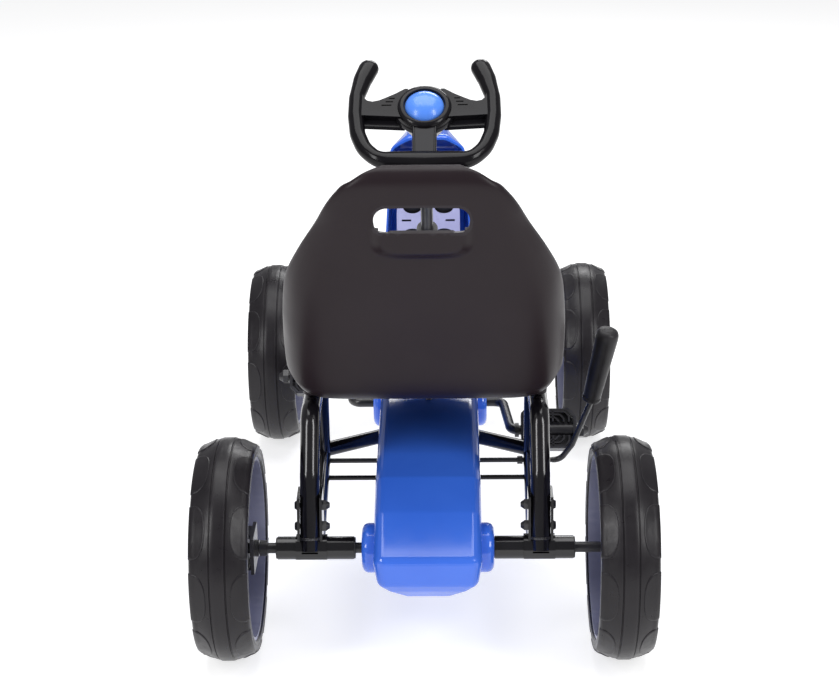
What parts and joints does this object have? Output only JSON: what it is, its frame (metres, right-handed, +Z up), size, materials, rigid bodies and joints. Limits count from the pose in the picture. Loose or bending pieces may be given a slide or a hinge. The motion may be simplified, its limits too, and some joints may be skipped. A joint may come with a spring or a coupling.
{
  "type": "pedal go kart",
  "caption": "Child's pedal go kart with a bucket seat, enclosed chain drive to the rear axle, linked front steering, a hand brake and wide soft tyres.",
  "frame": {"origin": "on the floor under the middle of the kart's bounding box", "axes": "+X to the driver's right, +Y forward, +Z up"},
  "size_m": [0.502, 0.9101, 0.5924],
  "materials": {
    "frame_paint": "gloss black paint",
    "black_steel": "satin black plated steel",
    "zinc_steel": "zinc plated",
    "chain_steel": "oiled steel",
    "bush_plastic": "dark nylon",
    "seat_plastic": "satin blow-moulded plastic",
    "blue_plastic": "gloss moulded plastic",
    "tyre": "satin foamed rubber",
    "rim_plastic": "moulded plastic",
    "pedal_plastic": "moulded plastic",
    "wheel_plastic": "gloss black plastic",
    "horn_plastic": "gloss blue plastic",
    "grip_plastic": "satin plastic"
  },
  "bodies": {
    "kart": {"rear_sleeve_left": "frame_paint", "rear_sleeve_right": "frame_paint", "side_rail_left": "frame_paint", "side_rail_right": "frame_paint", "cross_tube": "frame_paint", "spine_tube": "frame_paint", "front_beam": "frame_paint", "column_post": "frame_paint", "seat_hoop_left": "frame_paint", "seat_hoop_right": "frame_paint", "seat_bracket_left": "frame_paint", "seat_bracket_right": "frame_paint", "frame_bolts": "black_steel", "frame_nuts": "black_steel", "seat": "seat_plastic", "seat_screws": "zinc_steel", "guard_upper": "blue_plastic", "guard_lower": "blue_plastic", "guard_screws": "zinc_steel", "fairing": "blue_plastic", "bumper": "frame_paint", "chain": "chain_steel", "axle_bushes": "bush_plastic", "crank_bushes": "bush_plastic", "column_bushes": "bush_plastic", "fixed_rod": "frame_paint", "kingpins": "zinc_steel"},
    "rear_axle": {"rear_axle_shaft": "black_steel", "axle_sprocket": "chain_steel", "brake_drum": "chain_steel", "drive_carrier": "black_steel", "axle_collar": "black_steel", "axle_nuts": "zinc_steel", "rear_rim_left": "rim_plastic", "rear_tyre_left": "tyre"},
    "rear_right_wheel": {"rear_rim_right": "rim_plastic", "rear_tyre_right": "tyre"},
    "crank": {"crank_rod": "black_steel", "chainring": "chain_steel", "pedal_caps": "black_steel"},
    "pedal_left": {"pedal_left": "pedal_plastic"},
    "pedal_right": {"pedal_right": "pedal_plastic"},
    "steering": {"steering_column": "black_steel", "steering_wheel": "wheel_plastic", "steering_wheel_back": "wheel_plastic", "steering_screws": "zinc_steel"},
    "horn": {"horn_button": "horn_plastic"},
    "knuckle_left": {"knuckle_left": "black_steel", "stub_nut_left": "zinc_steel"},
    "knuckle_right": {"knuckle_right": "black_steel", "stub_nut_right": "zinc_steel"},
    "track_rod": {"track_rod": "black_steel"},
    "front_left_wheel": {"front_rim_left": "rim_plastic", "front_tyre_left": "tyre"},
    "front_right_wheel": {"front_rim_right": "rim_plastic", "front_tyre_right": "tyre"},
    "brake_lever": {"brake_lever": "black_steel", "brake_grip": "grip_plastic"},
    "brake_shoe": {"brake_shoe": "chain_steel"}
  },
  "joints": [
    {"name": "rear_axle_spin", "type": "hinge", "parent": "kart", "child": "rear_axle", "pos_m": [0, -0.33, 0.125], "axis": [1, 0, 0], "continuous": true},
    {"name": "rear_right_wheel_spin", "type": "hinge", "parent": "rear_axle", "child": "rear_right_wheel", "pos_m": [0.2195, -0.33, 0.125], "axis": [1, 0, 0], "continuous": true},
    {"name": "crank_spin", "type": "hinge", "parent": "kart", "child": "crank", "pos_m": [0, 0.021, 0.152], "axis": [1, 0, 0], "continuous": true, "deforming": ["chain"]},
    {"name": "pedal_left_spin", "type": "hinge", "parent": "crank", "child": "pedal_left", "pos_m": [-0.15, 0.111, 0.152], "axis": [1, 0, 0], "continuous": true},
    {"name": "pedal_right_spin", "type": "hinge", "parent": "crank", "child": "pedal_right", "pos_m": [0.15, -0.069, 0.152], "axis": [1, 0, 0], "continuous": true},
    {"name": "steering_turn", "type": "hinge", "parent": "kart", "child": "steering", "pos_m": [0, -0.001, 0.545], "axis": [0, -0.5736, 0.8192], "range_deg": [-20, 20]},
    {"name": "horn_press", "type": "slide", "parent": "steering", "child": "horn", "axis": [0, 0.5736, -0.8192], "range_m": [0, 0.003], "stiffness_N_per_m": 600, "springref_m": -0.001},
    {"name": "knuckle_left_turn", "type": "hinge", "parent": "kart", "child": "knuckle_left", "pos_m": [-0.168, 0.27, 0.125], "axis": [0, 0, 1], "range_deg": [-20, 20]},
    {"name": "knuckle_right_turn", "type": "hinge", "parent": "kart", "child": "knuckle_right", "pos_m": [0.168, 0.27, 0.125], "axis": [0, 0, 1], "range_deg": [-20, 20]},
    {"name": "track_rod_turn", "type": "hinge", "parent": "knuckle_left", "child": "track_rod", "pos_m": [-0.168, 0.225, 0.142], "axis": [0, 0, 1], "range_deg": [-20, 20]},
    {"name": "front_left_wheel_spin", "type": "hinge", "parent": "knuckle_left", "child": "front_left_wheel", "pos_m": [-0.217, 0.27, 0.125], "axis": [1, 0, 0], "continuous": true},
    {"name": "front_right_wheel_spin", "type": "hinge", "parent": "knuckle_right", "child": "front_right_wheel", "pos_m": [0.217, 0.27, 0.125], "axis": [1, 0, 0], "continuous": true},
    {"name": "brake_pull", "type": "hinge", "parent": "kart", "child": "brake_lever", "pos_m": [0.15, -0.139, 0.1436], "axis": [1, 0, 0], "range_deg": [0, 22]},
    {"name": "shoe_press", "type": "hinge", "parent": "kart", "child": "brake_shoe", "pos_m": [-0.034, -0.179, 0.1397], "axis": [1, 0, 0], "range_deg": [0, 1.76]}
  ],
  "couplings": [
    {"joint": "crank_spin", "follows": "rear_axle_spin", "ratio": 0.64},
    {"joint": "knuckle_left_turn", "follows": "steering_turn", "ratio": 1},
    {"joint": "knuckle_right_turn", "follows": "steering_turn", "ratio": 1},
    {"joint": "track_rod_turn", "follows": "steering_turn", "ratio": -1},
    {"joint": "shoe_press", "follows": "brake_pull", "ratio": 0.08}
  ]
}
